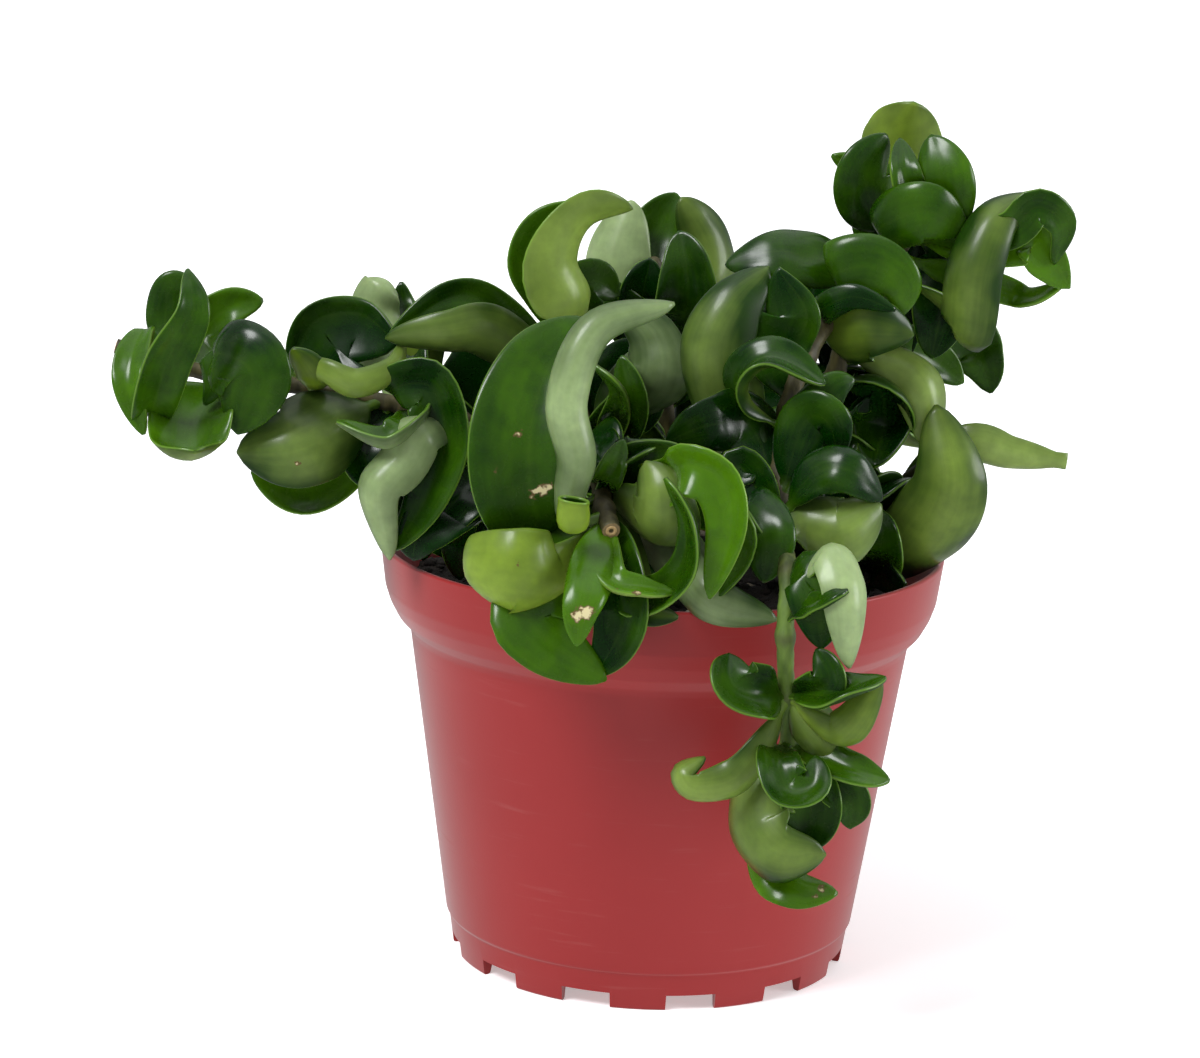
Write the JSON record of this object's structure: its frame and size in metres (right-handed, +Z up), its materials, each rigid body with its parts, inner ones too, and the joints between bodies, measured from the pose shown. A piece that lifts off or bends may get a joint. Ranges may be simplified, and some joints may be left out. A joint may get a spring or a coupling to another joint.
{
  "type": "potted wax plant",
  "caption": "Trailing wax plant with thick, glossy, curled and folded leaves on woody stems, in a plain round plastic nursery pot with a collar and a notched foot.",
  "frame": {"origin": "on the pot's axis, at the surface that the pot stands on", "axes": "+Z up along the pot's axis, -Y towards the side with the hanging vine, +X towards the taller vines"},
  "size_m": [0.1973, 0.1624, 0.1859],
  "materials": {
    "pot_plastic": "satin terracotta-coloured plastic",
    "potting_mix": "dark, damp bark and peat crumbs",
    "foliage": "waxy and glossy above, paler and satin below"
  },
  "bodies": {
    "root": {"pot": "pot_plastic", "soil": "potting_mix", "vine_left": "foliage", "vine_middle": "foliage", "vine_back": "foliage", "vine_right": "foliage", "vine_side": "foliage", "vine_front": "foliage", "vine_rear_left": "foliage", "vine_rear_right": "foliage", "vine_rear_middle": "foliage"}
  },
  "joints": []
}
